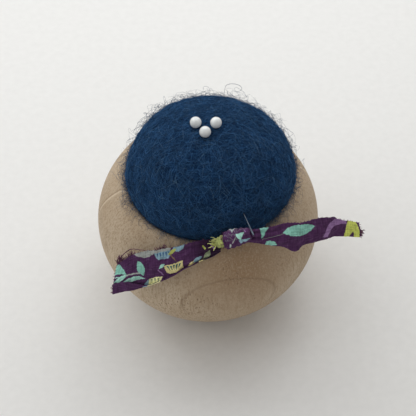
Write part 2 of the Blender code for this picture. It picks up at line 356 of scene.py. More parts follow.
WOOD_LIGHT = (0.548, 0.446, 0.332)
WOOD_DARK = (0.47, 0.364, 0.252)
WOOD_LATE = (0.345, 0.245, 0.15)
WOOD_LINE = (0.205, 0.135, 0.08)
WOOD_PALE = (0.78, 0.66, 0.5)
# the warm dark of the painted shade under the strip
WOOD_PAINTED_SHADE = (0.31, 0.196, 0.108)


def across_rings(marks):
    """Marks of (distance from the pith, level) as a ramp's stops."""
    return [((distance - NEAREST) / (FARTHEST - NEAREST), level) for distance, level in marks]


def ring_stops(rings):
    """A slow rise to each ring's line, and a sharp fall beyond it."""
    marks = []
    for distance, strength, width in rings:
        marks += [(distance - width, 0.0), (distance - 0.3 * width, 0.35 * strength), (distance, strength)]
        marks += [(distance + 0.2 * width, 0.4 * strength), (distance + 0.5 * width, 0.0)]
    return across_rings(marks)


def growth_rings(nodes):
    """The distance from the pith, the rings' dark lines, and a painted highlight along one ridge."""
    trunk = nodes.place(1.0, (-PITH[0], -PITH[1], 0))
    drift = nodes.noise((0.06, 0.06, 0.03))
    flat = nodes.add("VectorMath", {0: trunk, 1: (1, 1, 0)}, operation="MULTIPLY").outputs["Vector"]
    distance = nodes.add("VectorMath", {0: flat}, operation="LENGTH").outputs["Value"]
    distance = nodes.maths("ADD", distance, nodes.times(nodes.maths("SUBTRACT", drift, 0.5), 0.9))
    share = nodes.maths("DIVIDE", nodes.maths("SUBTRACT", distance, NEAREST), FARTHEST - NEAREST)
    level = nodes.add("SeparateXYZ", {0: nodes.place(1.0)}).outputs["Z"]
    level = nodes.maths("DIVIDE", level, BALL_CENTRE + BALL_HALF_HEIGHT)

    def seen(stops, fade):
        """The stops' level, less towards the bottom of the ball."""
        return nodes.times(nodes.ramp(share, stops), nodes.ramp(level, fade))

    inner = seen(ring_stops(INNER_RINGS), [(0.35, 0.3), (0.6, 1.0)])
    outer = seen(ring_stops(OUTER_RINGS), [(0.33, 0.1), (0.47, 1.0)])
    # the painted highlight along the ridge, fainter towards the bottom
    ridge_highlight = seen(across_rings(RIDGE_HIGHLIGHT), [(0.35, 0.1), (0.62, 0.6)])
    return distance, nodes.maths("MAXIMUM", inner, outer), ridge_highlight


def wood_material():
    """Pale, unfinished, close-grained wood, with few growth rings at the front."""
    nodes = Nodes("wood")
    distance, line, ridge_highlight = growth_rings(nodes)
    seasons = nodes.add("TexNoise", {"W": nodes.times(distance, 1.1)}, noise_dimensions="1D")
    tone = nodes.ramp(seasons.outputs["Fac"], [(0.35, 0.0), (0.65, 1.0)])
    streaks = nodes.noise((1.7, 1.7, 0.13), 4.0, 0.6)
    speckle = nodes.noise((1.8, 1.8, 1.0), 3.0, 0.75)
    mottle = nodes.noise(0.09, 3.0)
    patches = nodes.ramp(nodes.noise(0.11, 1.0), [(0.5, 0.0), (0.62, 1.0)])
    patches = nodes.maths("MAXIMUM", patches, nodes.near(FLECKED_PLACE, 9, 0.4, 1.0))
    flecks = nodes.ramp(nodes.cells((1.5, 1.5, 0.42)), [(0.15, 1.0), (0.28, 0.0)])
    fleck = nodes.times(flecks, patches)
    pore = nodes.ramp(nodes.cells(1.7), [(0.12, 1.0), (0.24, 0.0)])
    # light wood speckles that break up the painted shade under the strip
    wear_and_shade_speckles = nodes.near(STRIP_SHADE_PLACE, 20, 0.3, 0.42)
    wear_and_shade_speckles = nodes.times(wear_and_shade_speckles, nodes.ramp(speckle, [(0.5, 0.0), (0.6, 1.0)]))

    colour = nodes.ramp(mottle, [(0.3, WOOD_DARK), (0.7, WOOD_LIGHT)])
    for share, shade in (
        (nodes.times(tone, 0.16), WOOD_LATE),
        (nodes.near(SAPWOOD_PLACE, 28, 0.2, 0.4), WOOD_PALE),
        # painted shade under the strip: the wood there darker and warmer
        (nodes.near(STRIP_SHADE_PLACE, 23, 0.15, 0.95), WOOD_PAINTED_SHADE),
        (nodes.ramp(streaks, [(0.3, 0.9), (0.52, 0.0)]), WOOD_LATE),
        (nodes.ramp(speckle, [(0.3, 1.0), (0.48, 0.0)]), WOOD_LATE),
        (wear_and_shade_speckles, WOOD_LIGHT),
        (line, WOOD_LINE),
        # painted highlight along the ridge beside the darkest ring
        (ridge_highlight, WOOD_PALE),
        (nodes.times(fleck, 0.9), WOOD_LINE),
        (nodes.times(pore, 0.45), WOOD_LINE),
    ):
        colour = nodes.mix(share, colour, shade)
    dips = nodes.maths("ADD", nodes.times(fleck, 0.7), nodes.times(line, 1.5))
    height = nodes.maths("SUBTRACT", nodes.maths("ADD", streaks, speckle), dips)
    nodes.surface(Base_Color=colour, Roughness=nodes.ramp(streaks, [(0.2, 0.62), (0.8, 0.78)]))
    nodes.surface(Specular_IOR_Level=0.25)
    nodes.bump(height, 0.1 * MM, 0.8)
    return nodes.material


def felt_material():
    """Dense matted wool: crossing streaks of blue with deep gaps between."""
    nodes = Nodes("felt_blue")
    streaks = None
    for turn in ((0.4, 0.2, 0.3), (1.3, 0.9, 2.0), (2.2, 0.5, 1.1)):
        lay = nodes.noise(nodes.place((0.3, 2.2, 2.2), rotation=turn), 3.0, 0.65)
        streaks = lay if streaks is None else nodes.maths("MAXIMUM", streaks, lay)
    gap, wool, crest = (0.002, 0.012, 0.04), (0.01, 0.043, 0.122), (0.03, 0.1, 0.235)
    colour = nodes.ramp(streaks, [(0.45, gap), (0.6, wool), (0.76, crest)])
    clumps = nodes.ramp(nodes.noise(0.22, 3.0), [(0.35, 0.0), (0.7, 0.45)])
    colour = nodes.mix(clumps, colour, (0.017, 0.064, 0.16))
    nodes.surface(Base_Color=colour, Roughness=0.95, Specular_IOR_Level=0.05)
    nodes.surface(Sheen_Weight=0.9, Sheen_Roughness=0.4, Sheen_Tint=SHEEN_BLUE)
    nodes.bump(streaks, 0.3 * MM)
    return nodes.material


UV_MM = 50.0  # one UV unit on the strip, in millimetres
THREADS_PER_MM = 3.2


def cotton_material():
    """Plain-weave cotton, with its print as a colour on each point."""
    nodes = Nodes("printed_cotton")
    printed = nodes.add("VertexColor", layer_name="print").outputs["Color"]
    cycles = UV_MM * THREADS_PER_MM
    inputs = {"Vector": nodes.strip_place(), "Scale": cycles, "Distortion": 0.0}
    weave = nodes.add("TexMagic", inputs, turbulence_depth=0).outputs["Fac"]
    warp = nodes.noise(nodes.strip_place((cycles * 0.7, cycles * 0.07, 1)))
    weft = nodes.noise(nodes.strip_place((cycles * 0.07, cycles * 0.7, 1)))
    thread = nodes.times(warp, weft)
    colour = nodes.mix(nodes.ramp(thread, [(0.14, 0.35), (0.28, 0.0)]), printed, (0.012, 0.006, 0.016))
    colour = nodes.mix(nodes.ramp(thread, [(0.3, 0.0), (0.5, 0.1)]), colour, (0.55, 0.5, 0.55))
    nodes.surface(Base_Color=colour, Roughness=0.9, Sheen_Weight=0.04, Specular_IOR_Level=0.12)
    nodes.bump(weave, 0.04 * MM, 0.7)
    return nodes.material


def plain_material(name, field, dark, light, depth, strength=1.0, **surface):
    """Two tones in soft blotches. field is what noise takes."""
    nodes = Nodes(name)
    drift = nodes.noise(*field)
    nodes.surface(Base_Color=nodes.ramp(drift, [(0.3, dark), (0.7, light)]), **surface)
    if depth:
        nodes.bump(drift, depth * MM, strength)
    return nodes.material


def steel_material(name, dull, bright):
    nodes = Nodes(name)
    drawn = nodes.noise((30, 30, 0.4))
    nodes.surface(Base_Color=nodes.ramp(drawn, [(0.3, dull), (0.7, bright)]), Metallic=1.0)
    return nodes.surface(Roughness=nodes.ramp(drawn, [(0.3, 0.16), (0.7, 0.3)]))


# ---- the wooden ball


def wooden_ball(material):
    """The turned ball with its cup."""
    floor = (CUP_RADIUS - CUP_FILLET, CUP_FLOOR + CUP_FILLET)
    lip = (CUP_RADIUS + LIP_RADIUS, RIM_TOP - LIP_RADIUS)
    top = math.degrees(math.asin((RIM_RISE - 0.5) / BALL_HALF_HEIGHT))
    foot = -math.degrees(math.asin(BALL_CENTRE / BALL_HALF_HEIGHT))
    fillet = ellipse(floor, (CUP_FILLET, CUP_FILLET), -90, 0, 10)
    rim = ellipse(lip, (LIP_RADIUS, LIP_RADIUS), 180, 75, 12)
    outside = ellipse((0, BALL_CENTRE), (BALL_RADIUS, BALL_HALF_HEIGHT), top, foot, 120)
    base = [(outside[-1, 0] - 0.5, 0), (0, 0)]
    points, faces = turned(np.vstack([[(0, CUP_FLOOR)], fillet, rim, outside, base]), 256)
    return ride(mesh_piece("wood_ball", points, faces, material), "wood", "wooden_base")


# ---- the felted wool


# Each tone of the wool: its darkest and lightest colour, and its sheen
WOOL = {
    "deep": strand_material("wool_deep", (0.002, 0.012, 0.044), (0.006, 0.031, 0.098), 0.1),
    "mid": strand_material("wool_mid", (0.01, 0.046, 0.135), (0.02, 0.078, 0.205), 0.7),
    "light": strand_material("wool_light", (0.03, 0.102, 0.25), (0.064, 0.168, 0.35), 0.8),
    "bright": strand_material("wool_bright", (0.08, 0.18, 0.32), (0.15, 0.26, 0.39), 0.2),
    "loose": strand_material("wool_loose", (0.016, 0.042, 0.098), (0.042, 0.092, 0.18), 0.1),
}
LUMPS = random_waves(15.0)
TUFTS = random_waves(4.5, 40)
PITS = random_waves(1.6, 50)
LEAN = 0.9  # the ball of wool sits a little to the right of the cup's middle
HEAD_DENT, HEAD_DENT_REACH = 1.1, 1.9  # how deep a pin's head presses the felt, and how far round it
KNOT_DENT = 4.5
WINDING_POLE = unit(np.array([0.15, -0.8, 0.55]))


def felt_outline():
    """The felt's section, as angles from straight up and distances from its centre."""
    tuck = (FELT_RADIUS - WAIST_RADIUS, TUCK_HEIGHT)
    foot = (FOOT_RADIUS, FELT_LOW[2] + FOOT_RISE)
    dome = ellipse((0, EQUATOR), (FELT_RADIUS, FELT_HIGH[2] - EQUATOR), 90, 0, 60, DOME_POWER)
    waist = ellipse((WAIST_RADIUS, EQUATOR), tuck, -10, -90, 8)
    bowl = ellipse(foot, (WAIST_RADIUS - FOOT_RADIUS, FOOT_RISE), 0, -90, 20)
    section = np.vstack([dome, waist, bowl, [(0, FELT_LOW[2])]])
    section[:, 1] -= EQUATOR
    return np.arctan2(section[:, 0], section[:, 1]), np.hypot(section[:, 0], section[:, 1])


FELT_ANGLES, FELT_REACHES = felt_outline()


def dent_depth(points):
    """How far the pins' heads and the knot press the felt in."""
    depth = np.zeros(points.shape[:-1])
    for centre, axis, radius, _ in PINS.values():
        away = np.linalg.norm(points - (centre - axis * radius), axis=-1)
        depth += HEAD_DENT * np.exp(-((away / HEAD_DENT_REACH) ** 2))
    half = (KNOT_HIGH - KNOT_LOW) / 2 + 0.3
    inside = 1 - np.linalg.norm((points - KNOT_CENTRE) / half, axis=-1)
    return depth + np.clip(inside, 0, 1) * KNOT_DENT


def felt_points(directions, lift=0.0):
    """Where rays from the felt's centre meet its surface, raised by lift."""
    angles = np.arccos(np.clip(directions[..., 2], -1, 1))
    reach = np.interp(angles, FELT_ANGLES, FELT_REACHES)
    points = FELT_CENTRE + directions * reach[..., None]
    swell = 0.15 * LUMPS(points) + 0.1 * TUFTS(points) + 0.06 * PITS(points)
    swell = swell * ease(-8, 4, points[..., 2] - RIM_TOP) - dent_depth(points)
    points = points + directions * (swell + lift)[..., None]
    points[..., 0] += LEAN * ease(-1, 2.4, points[..., 2] - RIM_TOP)
    return points


def unit_ball(name, subdivisions, material):
    """An even ball of small triangles, and the directions of its points."""
    bpy.ops.mesh.primitive_ico_sphere_add(subdivisions=subdivisions, radius=1)
    ball = bpy.context.object
    ball.name = ball.data.name = name
    directions = np.empty(len(ball.data.vertices) * 3)
    ball.data.vertices.foreach_get("co", directions)
    ball.data.shade_smooth()
    ball.data.materials.append(material)
    return ball, unit(directions.reshape(-1, 3))


def felt_ball(material):
    ball, directions = unit_ball("felt_ball", 7, material)
    ball.data.vertices.foreach_set("co", (felt_points(directions) * MM).ravel())
    return ride(ball, "felt_blue", "felt_cushion")


def crawl(count, steps, length, curl, lowest, flow=0.0):
    """Wandering walks over the felt, as directions from its centre.

    flow is how much they follow the wool's winding, round a pole at the front.
    """
    height = RNG.uniform(lowest, 1, count)
    turn = RNG.uniform(0, TURN, count)
    flat = np.sqrt(1 - height**2)
    here = np.stack([flat * np.cos(turn), flat * np.sin(turn), height], -1)
    heading = unit(np.cross(here, RNG.normal(size=here.shape)))
    heading = unit(heading + flow * np.cross(here, WINDING_POLE))
    stride = (length / FELT_RADIUS / (steps - 1))[:, None]
    bend = RNG.normal(0, curl, (count, 1))
    walk = [here]
    for _ in range(steps - 1):
        here = unit(here + heading * stride)
        heading = unit(heading - here * (here * heading).sum(-1, keepdims=True))
        heading = heading * np.cos(bend) + np.cross(here, heading) * np.sin(bend)
        bend = 0.7 * bend + RNG.normal(0, curl * 0.7, (count, 1))
        walk.append(here)
    return np.stack(walk, 1)


def clear_of_heads(paths):
    """Only the fibres that no pin head touches."""
    keep = np.ones(len(paths), bool)
    for centre, _, radius, _ in PINS.values():
        keep &= np.linalg.norm(paths - centre, axis=-1).min(1) > radius + 0.15
    return paths[keep]


def wiggles(count, steps, size):
    """Smooth random wiggles along each fibre, from nothing at its root."""
    along = even(steps)[None, :, None]
    moved = np.zeros((count, steps, 3))
    for turns in (1.2, 2.1, 3.4):
        phase = RNG.uniform(0, TURN, (count, 1, 1))
        wave = np.sin(TURN * turns * along + phase) - np.sin(phase)
        moved += wave * RNG.normal(size=(count, 1, 3)) * size[:, None, None] / turns
    return moved


def wool_piece(name, paths, radius, tone):
    paths = clear_of_heads(paths)
    radii = RNG.uniform(0.6, 1.3, len(paths)) * radius
    ride(tubes(name, paths, radii, WOOL[tone]), "felt_blue")


def lying_fibres(name, count, tone, height, radius, flow):
    """Fibres that arch a little off the felt between their buried ends."""
    steps = 8
    walk = crawl(count, steps, RNG.uniform(4, 11, count), 0.16, -0.12, flow)
    arch = np.sin(np.pi * even(steps))[None, :]
    lift = arch * RNG.uniform(0.02, height, (count, 1)) + 0.02 - 0.08 * (1 - arch)
    wool_piece(name, felt_points(walk, lift) + wiggles(count, steps, np.full(count, 0.1)), radius, tone)


def loose_fibres(name, count, tone, reach, radius, steps, span, curl):
    """Fine hairs that leave the felt and curl, about half of them back into it.

    span is how far a hair travels for each millimetre that it may stand off, and curl how much it kinks.
    """
    walk = crawl(count, steps, RNG.uniform(*span, count) * reach, 0.3, -0.12)
    along = even(steps)[None, :]
    loops = RNG.random((count, 1)) < 0.55
    rise = np.where(loops, np.sin(np.pi * along), along**0.8)
    lift = rise * RNG.uniform(0.15, 1.0, (count, 1)) ** 1.6 * reach - 0.05
    kinks = wiggles(count, steps, RNG.uniform(*curl, count) * reach)
    wool_piece(name, felt_points(walk, lift) + kinks, radius, tone)


def resting_fibres(name, count, tone, reach, radius):
    """Hairs from the felt's widest part that droop and come to rest on the wood."""
    steps = 9
    turn = RNG.uniform(0, TURN, count)
    height = RNG.uniform(-0.075, 0.05, count)
    x, y, flat = np.cos(turn), np.sin(turn), np.zeros(count)
    root = felt_points(unit(np.stack([x, y, height], -1)), -0.1)
    out, aside = np.stack([x, y, flat], -1), np.stack([-y, x, flat], -1)
    length = RNG.uniform(0.2, 1.0, (count, 1)) ** 2 * reach
    along = even(steps)[None, :, None]
    lean = RNG.uniform(-1.6, 1.6, (count, 1))
    course = unit(out + aside * lean) * length
    paths = root[:, None] + course[:, None] * along + [0, 0, -1.0] * (along**1.5 * length[:, None] * 0.8)
    paths += wiggles(count, steps, 0.12 * length[:, 0])
    share = np.clip(np.hypot(paths[..., 0], paths[..., 1]) / BALL_RADIUS, 0, 1)
    wood = np.minimum(BALL_CENTRE + BALL_HALF_HEIGHT * np.sqrt(1 - share**2), RIM_TOP)
    paths[..., 2] = np.maximum(paths[..., 2], wood + RNG.uniform(0.03, 0.25, (count, 1)))
    wool_piece(name, paths, radius, tone)


def felt_fibres():
    lying_fibres("felt_fibres_deep", 2600, "deep", 0.22, 0.055, 0.0)
    lying_fibres("felt_fibres_mid", 3200, "mid", 0.3, 0.055, 1.0)
    lying_fibres("felt_fibres_light", 2600, "light", 0.45, 0.058, 1.8)
    lying_fibres("felt_fibres_bright", 320, "bright", 0.6, 0.045, 1.0)
    loose_fibres("felt_fuzz", 5000, "mid", 0.9, 0.04, 7, (0.9, 2.5), (0.08, 0.22))
    loose_fibres("felt_halo_short", 1800, "loose", 1.8, 0.036, 14, (1.2, 3.0), (0.1, 0.25))
    loose_fibres("felt_halo_long", 1300, "loose", 3.8, 0.036, 20, (1.2, 3.2), (0.04, 0.11))
    resting_fibres("felt_skirt", 700, "mid", 2.6, 0.036)
    resting_fibres("felt_wisps", 1000, "loose", 5.5, 0.034)
    loose_fibres("felt_stray_hairs", 60, "loose", 5.5, 0.04, 30, (1.5, 3.0), (0.06, 0.2))
    felt_curl()


def felt_curl():
    """One long hair that stands up behind the crown and curls over at its end."""
    turn = np.linspace(-0.3, 4.4, 20)[:, None]
    loop = [8.2, 11.0, 82.4] + np.cos(turn) * [-2.6, 0, 0.7] + np.sin(turn) * [0.6, 0, 1.7]
    foot = felt_points(unit(np.array([0.28, 0.26, 0.93])), -0.1)
    rise = np.linspace(foot, loop[0], 6)[:-1] + np.sin(np.linspace(0, 2, 5))[:, None] * [-0.8, 0, 0]
    ride(tubes("felt_curl", np.vstack([rise, loop])[None], [0.07], WOOL["loose"]), "felt_blue")


def wool_core(material):
    """The undyed stuffing inside the felt."""
    wall = FELT_HIGH[2] - node_box("wool_core")[1][2]
    core, directions = unit_ball("wool_stuffing", 5, material)
    reach = np.interp(np.arccos(np.clip(directions[:, 2], -1, 1)), FELT_ANGLES, FELT_REACHES) - wall - 0.25
    points = FELT_CENTRE + directions * reach[:, None]
    points += directions * (0.2 * TUFTS(points) - 0.2)[:, None]
    core.data.vertices.foreach_set("co", (points * MM).ravel())
    return ride(core, "core_wool", "wool_core")


def glue_puddle(material):
    """The set glue under the cushion."""
    low, high = node_box("glue_pad")
    middle, half = (low[2] + high[2]) / 2, (high[2] - low[2]) / 2
    edge = ellipse((high[0] - 2 * half, middle), (2 * half, half), 90, -90, 12)
    profile = np.vstack([[(0, high[2])], edge, [(0, low[2])]])
    points, faces = turned(profile, 72)
    turn = np.arctan2(points[:, 1], points[:, 0])
    points[:, :2] *= (1 - 0.04 * (1 + np.sin(3 * turn + 1)) - 0.02 * np.sin(7 * turn))[:, None]
    return ride(mesh_piece("glue_puddle", points, faces, material), "glue", "glue_pad")


# ---- the printed cotton strip


PURPLE = (0.092, 0.033, 0.108)
TEAL = (0.31, 0.68, 0.57)
PALE_TEAL = (0.44, 0.8, 0.69)
DEEP_TEAL = (0.04, 0.17, 0.18)
LIME = (0.54, 0.6, 0.15)
BRIGHT_LIME = (0.74, 0.82, 0.18)
STRAW = (0.92, 0.83, 0.4)
PALE_STRAW = (1.0, 1.0, 0.54)
LILAC = (0.37, 0.21, 0.45)
SKY = (0.3, 0.48, 0.58)
INK = (0.06, 0.16, 0.34)
ASH = (0.45, 0.48, 0.46)
DARK_ASH = (0.27, 0.288, 0.276)
PALE_ASH = (0.62, 0.7, 0.68)
WORN = (0.22, 0.2, 0.25)
FADED_LIME = (0.48, 0.53, 0.19)
OCHRE = (0.3, 0.2, 0.1)
MOSS = (0.33, 0.4, 0.25)


# A motif is a shape, with its measures in millimetres on the strip, and a colour.


def leaf(x, y, centre, angle, length, width):
    """A pointed leaf, at an angle in degrees."""
    c, s = math.cos(math.radians(angle)), math.sin(math.radians(angle))
    dx, dy = x - centre[0], y - centre[1]
    along, across = dx * c + dy * s, dy * c - dx * s
    half = 0.5 * width * (1 - (2 * along / length) ** 2)
    return (np.abs(across) < half) & (np.abs(along) < length / 2)


def stem(x, y, start, end, width):
    """A straight stem with round ends."""
    start, end = np.array(start), np.array(end)
    line = end - start
    share = np.clip(((x - start[0]) * line[0] + (y - start[1]) * line[1]) / (line @ line), 0, 1)
    return np.hypot(x - start[0] - share * line[0], y - start[1] - share * line[1]) < width / 2


def band(x, y, centre, radius, width, start, end):
    """Part of a ring, between two angles in degrees."""
    away = np.hypot(x - centre[0], y - centre[1])
    turn = np.degrees(np.arctan2(y - centre[1], x - centre[0])) % 360
    return (np.abs(away - radius) < width / 2) & (turn >= start) & (turn <= end)


def patch(x, y, *corners):
    """The inside of a polygon, by counting the edges that a line to the right would cross."""
    inside = np.zeros(x.shape, bool)
    for (ax, ay), (bx, by) in zip(corners, corners[1:] + corners[:1]):
        if ay != by:
            crosses = (ay > y) != (by > y)
            inside ^= crosses & (x < ax + (y - ay) * (bx - ax) / (by - ay))
    return inside


def wear_and_shade_speckles(x, y, *corners):
    """Worn threads, scattered inside a polygon."""
    rubs = np.sin(10 * y + 2.6 * np.sin(3.7 * x)) + np.sin(6 * x + 5 * y + 3 * np.sin(2.3 * y + x))
    return patch(x, y, *corners) & (rubs > 0.95)


def wedges(places, top, width, tip, bottom, colour):
    """Narrow wedges side by side. tip gives the x of each one's point."""
    return [(patch, (x, top), (x - width, top), (tip(x), bottom), colour) for x in places]


# On the left tail, x runs from the knot to the end, and y from the top edge to the fold and round it
LEFT_PRINT = [
    (leaf, (24.6, 5.6), 110, 6.0, 2.8, TEAL),
    (patch, (37, 0.4), (34.5, 0.6), (33, 1.3), (31, 3.3), (29.8, 5.6), (32.3, 4.2), (37, 3.6), TEAL),
    (leaf, (32.6, 6.0), 3, 6.4, 1.5, PALE_TEAL),
    (leaf, (27.3, 8.4), -15, 8.8, 1.5, PALE_TEAL),
    (stem, (35.0, 4.9), (30.4, 5.4), 0.3, PALE_TEAL),
    (stem, (29.8, 5.9), (27.6, 6.6), 0.4, ASH),
    (stem, (27.6, 6.6), (25.0, 7.4), 0.4, ASH),
    (patch, (28, -1), (13.6, -1), (14.2, 0.8), (19.8, 1.0), (21.8, 2.3), (23.6, 2.0), (26, 0.9), ASH),
    (patch, (19.8, 1.0), (19.2, 2.5), (18.2, 3.4), (14.7, 3.3), (13.8, 1.9), (14.1, 0.8), SKY),
    *wedges((18.9, 17.9, 16.9, 15.9, 14.9), 1.2, 0.6, lambda x: x - 0.5, 2.7, INK),
    (patch, (13.4, 0.8), (12.4, -1), (8.6, -1), (9.4, 0.9), (11.2, 1.8), SKY),
    (leaf, (13.4, 1.4), 31, 3.4, 1.2, LIME),
    (stem, (14.4, 1.9), (12.1, 4.6), 0.25, OCHRE),
    (patch, (16.3, 5.6), (9.8, 5.0), (9.6, 8.0), (12.6, 8.9), (15.2, 8.6), STRAW),
    *wedges((15.4, 14.3, 13.2, 12.1, 11.0), 5.8, 0.7, lambda x: 12.7 + 0.55 * (x - 13.2), 7.8, DEEP_TEAL),
    (leaf, (17.0, 5.7), 39, 2.6, 1.1, PALE_TEAL),
    (stem, (18.3, 7.0), (16.6, 9.1), 0.35, LILAC),
    (patch, (24.2, 14), (23.6, 11.6), (21.9, 10.2), (21.5, 14), SKY),
    (patch, (22.4, 14), (21.6, 9.9), (19.2, 9.5), (16.8, 9.8), (18.6, 14), PALE_STRAW),
    *wedges((21.2, 20.0, 18.8), 10.0, 0.7, lambda x: x - 0.5, 12.0, MOSS),
    (leaf, (6.4, 7.0), 40, 3.6, 1.6, STRAW),
    (leaf, (4.8, 6.0), 28, 3.4, 1.6, SKY),
    (leaf, (3.6, 7.6), 30, 1.8, 1.4, STRAW),
    (leaf, (1.6, 5.4), 60, 4.6, 2.0, MOSS),
    (stem, (2.8, 2.0), (2.4, 2.6), 0.6, LIME),
    (stem, (0.2, 1.6), (-0.8, 2.6), 0.5, LILAC),
]
RIGHT_PRINT = [
    (patch, (2.4, -1), (6.2, -1), (4.7, 1.3), (3.8, 3.2), (3.3, 3.2), (3.2, 1.3), TEAL),
    (leaf, (16.1, 2.5), -4, 11.5, 3.8, TEAL),
    (stem, (3.6, 3.7), (10.4, 3.1), 0.18, DARK_ASH),
    (patch, (5.1, 4.3), (7.6, 5.0), (8.7, 6.6), (4.6, 5.9), TEAL),
    (band, (33.6, 8.3), 8.1, 1.9, 190, 272, LILAC),
    (patch, (32.7, 9), (34.1, 1.0), (35.4, -1), (38.3, -1), (39.8, 1.1), (40.3, 2.9), (40.2, 9), BRIGHT_LIME),
    (patch, (35.2, 9), (35.4, 5.2), (37.2, 3.4), (37.6, 5.4), (37.5, 9), PURPLE),
]
# On the wrap, x runs round the knot, upwards over its front, and y across it from its left end
WRAP_PRINT = [
    (patch, (17.2, 1.6), (17.2, 4.6), (15.6, 3.6), (14.9, 3.1), (15.8, 2.6), PALE_ASH),
    (wear_and_shade_speckles, (17.4, 0.2), (17.0, 7.6), (13.6, 7.4), (12.0, 4.0), (12.6, 1.0), WORN),
    (patch, (14.1, 4.5), (14.4, 7.2), (13.2, 6.6), (11.9, 5.6), (13.0, 4.9), PALE_TEAL),
    (patch, (12.2, 5.0), (11.9, 6.9), (11.3, 8.6), (10.8, 8.4), (10.9, 5.2), SKY),
    (stem, (11.7, 2.8), (13.2, 4.4), 0.2, ASH),
    (stem, (10.8, 1.8), (11.4, 2.0), 0.55, PALE_ASH),
    (stem, (16.6, 6.2), (14.4, 7.6), 0.2, LILAC),
]
TUFT_PRINT = [(lambda x, y: np.hypot(x - 6, 0.6 * (y - 3)) < 7.5, FADED_LIME)]

COTTON = cotton_material()
YARN = strand_material("loose_yarn", (0.06, 0.02, 0.055), (0.24, 0.095, 0.16))
LIME_YARN = strand_material("lime_yarn", (0.42, 0.45, 0.13), (0.74, 0.76, 0.34))
CLOTH_LAYER = 0.28  # thickness of one layer of the cotton
FLAP_Y = 99.0  # where the print is read for a flap, past every motif
FOLD_RADIUS = 0.38  # of the crease along a tail's edge
LOOP_RADIUS = 26.0
WRAP_OFFSET = (2.4, 0.3, 1.2)
TUFT_OFFSET = (-2.6, -0.4, -0.1)
CREASES = random_waves(7.0)
FRAYS = random_waves(1.1)


def printed(motifs, x, y, start=0.0, knot_shade=0.0):
    """The print's colour at each place: the motifs over an unevenly dyed ground.

    knot_shade is how much painted shade darkens the ground where the print starts, by the knot.
    """
    # painted shade: the ground darkens over the 10 mm nearest the knot
    ground = 1 - knot_shade * ease(0, 10, 10 - (x - start))
    colours = np.tile(PURPLE, (*x.shape, 1)) * ground[..., None]
    for shape, *measures, colour in motifs:
        colours[shape(x - start, y, *measures)] = colour
    blotch = 0.5 + 0.5 * np.sin(1.3 * x + np.sin(0.9 * y)) * np.sin(1.1 * y + np.sin(0.7 * x))
    return colours * (0.85 + 0.26 * blotch)[..., None]


def cloth(name, points, flat, colours, wrap=False):
    """A layer of cotton. flat is each point's x and y on the flat strip."""
    faces = grid_faces(*points.shape[:2], wrap)
    uvs = np.stack(flat, -1) / UV_MM
    piece = mesh_piece(name, points, faces, COTTON, uvs, colours)
    modifier(piece, "SOLIDIFY", thickness=CLOTH_LAYER * MM, offset=0)
    return piece


# Each tail from the knot to its end: its face's middle (x, y, z) and width, and how far its top leans back
LEFT_TAIL = [
    (4.0, -29.8, 52.7, 3.5, 40),
    (1.0, -30.5, 52.0, 5.5, 40),
    (-4.0, -32.0, 52.0, 7.0, 30),
    (-10.5, -33.5, 49.5, 9.0, 28),
    (-17.0, -34.0, 46.8, 11.5, 25),
    (-23.0, -33.5, 44.0, 12.5, 26),
    (-27.0, -33.5, 41.5, 10.5, 32),
    (-31.0, -33.0, 38.7, 9.5, 38),
]
RIGHT_TAIL = [
    (10.0, -30.2, 57.0, 3.2, 35),
    (13.5, -30.0, 57.6, 3.8, 35),
    (18.0, -29.5, 57.2, 5.2, 38),
    (24.0, -28.5, 56.0, 7.5, 32),
    (28.0, -28.0, 54.7, 9.5, 28),
    (31.5, -26.5, 54.7, 7.8, 28),
    (38.5, -23.5, 53.5, 7.6, 20),
    (44.5, -21.5, 51.0, 5.7, 20),
    (50.4, -19.3, 47.3, 5.0, 28),
]


def tail_edges(stations, along):
    """The two edges of a tail's face, at places from 0, the knot, to 1, the end."""
    stretch = spline(stations, along)
    middle, width, lean = stretch[:, :3], stretch[:, 3:4], np.radians(stretch[:, 4:])
    up = np.hstack([np.zeros_like(lean), np.sin(lean), np.cos(lean)])
    ragged = 0.1 * FRAYS(middle)[:, None] + 0.12 * CREASES(middle)[:, None]
    return middle + up * (width / 2 + ragged), middle - up * width / 2


def folded_strip(name, stations, print_rule, flap, side, gather, slant):
    """A tail of the strip, whose face hangs from its top edge to a fold, where a flap turns back.

    print_rule is the motifs, where they start, and how much painted shade darkens the ground there, by the
    knot. side is 1 for a tail that runs left, with its flap in front, and -1 for one that runs right, with
    its flap behind. gather is the depth of the pleats at the knot, and slant how far the torn end's top
    corner is set back.
    """
    rows, columns = 300, 130
    along = even(rows)
    upper, lower = tail_edges(stations, along)
    drop = np.linalg.norm(lower - upper, axis=-1)
    middle = (upper + lower) / 2
    travel = np.r_[0, np.cumsum(np.linalg.norm(np.diff(middle, axis=0), axis=-1))]
    down = unit(lower - upper)
    front = side * unit(np.cross(unit(np.gradient(middle, axis=0)), down))
    curl = math.pi * FOLD_RADIUS
    reach = even(columns)[None, :] * (drop + curl + flap(along))[:, None]
    face = np.minimum(reach, drop[:, None])
    turn = np.clip((reach - drop[:, None]) / FOLD_RADIUS, 0, math.pi)
    back = np.maximum(reach - drop[:, None] - curl, 0)
    depth = (face + FOLD_RADIUS * np.sin(turn) - back)[..., None]
    out = side * FOLD_RADIUS * (1 - np.cos(turn))[..., None]
    points = upper[:, None] + down[:, None] * depth + front[:, None] * out

    share = (face - back) / drop[:, None]
    pleats = np.sin(TURN * 2.6 * share + 2.5 * along[:, None]) * gather
    pleats = pleats * (1 - ease(0.05, 0.5, along))[:, None]
    belly = 0.5 * np.sin(np.pi * share) + 0.35 * CREASES(points) + 0.08 * FRAYS(points)
    points = points + front[:, None] * (pleats + belly)[..., None]
    points[..., 0] += slant * ease(0.86, 1.0, along)[:, None] * (1 - share)
    x = np.broadcast_to(travel[:, None], reach.shape)
    motifs, start, knot_shade = print_rule
    colours = printed(motifs, x, np.where(back > 0, FLAP_Y, reach), start, knot_shade)
    return cloth(name, points, (x, reach), colours), points, travel[-1]


